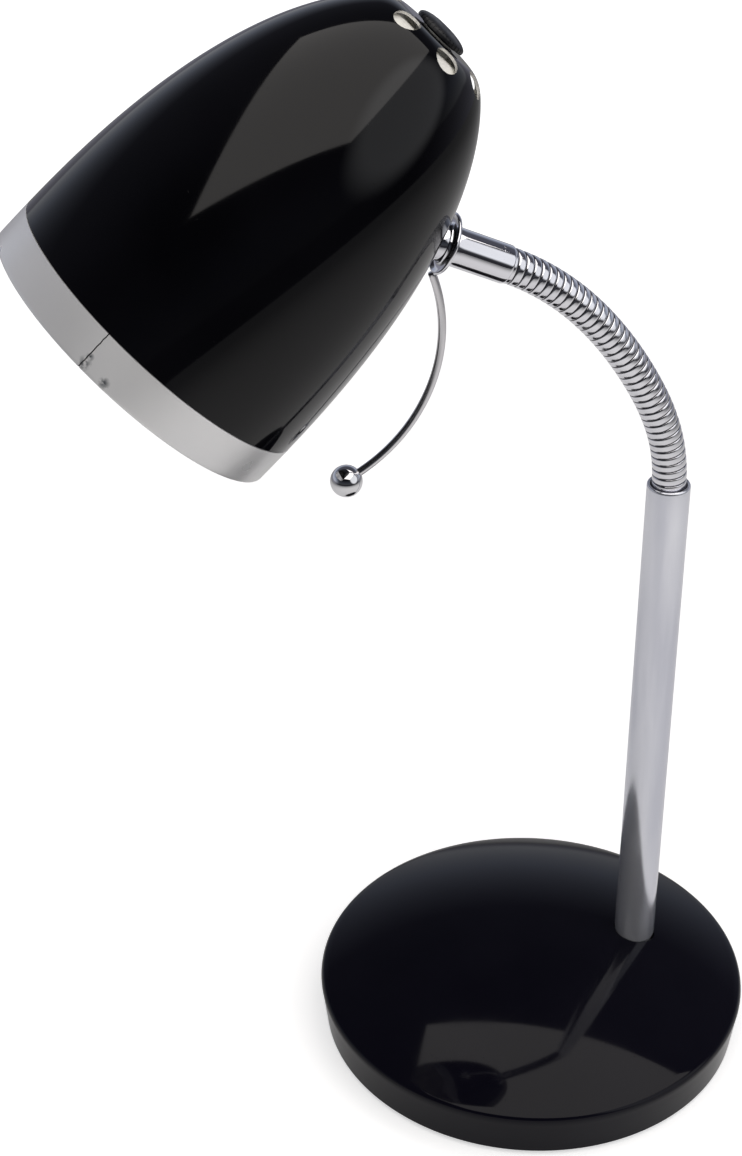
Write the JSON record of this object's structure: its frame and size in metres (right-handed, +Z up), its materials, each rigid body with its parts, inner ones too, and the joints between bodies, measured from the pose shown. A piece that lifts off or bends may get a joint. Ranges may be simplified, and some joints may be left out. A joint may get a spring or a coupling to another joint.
{
  "type": "desk lamp",
  "caption": "Desk lamp with a domed round base, upright tube, flexible neck and a glossy bullet-shaped shade with a bright rim and a ball-ended wire handle",
  "frame": {"origin": "centre of the flat underside of the foot pad, on the surface that the lamp rests on", "axes": "+Z is up, the upright tube stands at +X and the shade looks towards -X; the lamp is symmetric about the plane y = 0"},
  "size_m": [0.2394, 0.15, 0.3749],
  "materials": {
    "shade_paint": "gloss",
    "base_paint": "gloss",
    "chrome": "polished",
    "band": "polished",
    "ballast": "matte",
    "zinc_steel": "satin",
    "brass": "satin",
    "foam": "matte",
    "rubber": "matte",
    "white_enamel": "satin",
    "holder_plastic": "matte",
    "knob_plastic": "satin",
    "bulb_glass": "satin",
    "cap_metal": "satin"
  },
  "bodies": {
    "base": {"base_shell": "base_paint", "ballast_weight": "ballast", "bottom_plate": "zinc_steel", "base_pad": "foam", "plate_screw_1": "zinc_steel", "plate_screw_2": "zinc_steel", "plate_screw_3": "zinc_steel", "cord_grommet": "rubber", "stem_tube": "chrome", "stem_nipple": "zinc_steel", "stem_washer": "zinc_steel", "stem_nut": "zinc_steel", "neck_root": "chrome"},
    "neck_1": {"neck_link_1": "chrome"},
    "neck_2": {"neck_link_2": "chrome"},
    "neck_3": {"neck_link_3": "chrome"},
    "neck_4": {"neck_link_4": "chrome"},
    "neck_5": {"neck_link_5": "chrome"},
    "neck_6": {"neck_link_6": "chrome"},
    "head": {"neck_tip": "chrome", "neck_ferrule": "chrome", "handle_collar": "chrome", "neck_washer": "zinc_steel", "neck_nut": "brass", "neck_nipple": "zinc_steel", "shade": "shade_paint", "rim_band": "band", "heat_shield": "white_enamel", "holder_body": "holder_plastic", "crown_spacer": "holder_plastic", "holder_ring": "holder_plastic", "crown_nut": "zinc_steel", "contact_shell": "brass", "contact_centre": "brass", "switch_spindle": "brass", "bulb_cap": "cap_metal", "bulb_glass": "bulb_glass", "handle_rod": "chrome", "handle_ball": "chrome"},
    "knob": {"switch_knob": "knob_plastic"}
  },
  "joints": [
    {"name": "bend_1", "type": "hinge", "parent": "base", "child": "neck_1", "pos_m": [0.038, 0, 0.21525], "axis": [0, -1, 0], "range_deg": [-20, 11]},
    {"name": "sway_1", "type": "hinge", "parent": "neck_1", "child": "neck_2", "pos_m": [0.03561, 0, 0.22955], "axis": [0.9625, 0, 0.2714], "range_deg": [-15, 15]},
    {"name": "bend_2", "type": "hinge", "parent": "neck_2", "child": "neck_3", "pos_m": [0.03018, 0, 0.243], "axis": [0, -1, 0], "range_deg": [-20, 11]},
    {"name": "sway_2", "type": "hinge", "parent": "neck_3", "child": "neck_4", "pos_m": [0.02303, 0, 0.25562], "axis": [0.8457, 0, 0.5336], "range_deg": [-15, 15]},
    {"name": "bend_3", "type": "hinge", "parent": "neck_4", "child": "neck_5", "pos_m": [0.01472, 0, 0.26749], "axis": [0, -1, 0], "range_deg": [-20, 11]},
    {"name": "sway_3", "type": "hinge", "parent": "neck_5", "child": "neck_6", "pos_m": [0.0053, 0, 0.27852], "axis": [0.7071, 0, 0.7071], "range_deg": [-15, 15]},
    {"name": "bend_4", "type": "hinge", "parent": "neck_6", "child": "head", "pos_m": [-0.00573, 0, 0.28794], "axis": [0, -1, 0], "range_deg": [-20, 11]},
    {"name": "knob_turn", "type": "hinge", "parent": "head", "child": "knob", "pos_m": [-0.03603, 0, 0.3665], "axis": [0.709, 0, 0.7053], "continuous": true}
  ],
  "couplings": [
    {"joint": "bend_2", "follows": "bend_1", "ratio": 1},
    {"joint": "bend_3", "follows": "bend_1", "ratio": 1},
    {"joint": "bend_4", "follows": "bend_1", "ratio": 1},
    {"joint": "sway_2", "follows": "sway_1", "ratio": 1},
    {"joint": "sway_3", "follows": "sway_1", "ratio": 1}
  ]
}
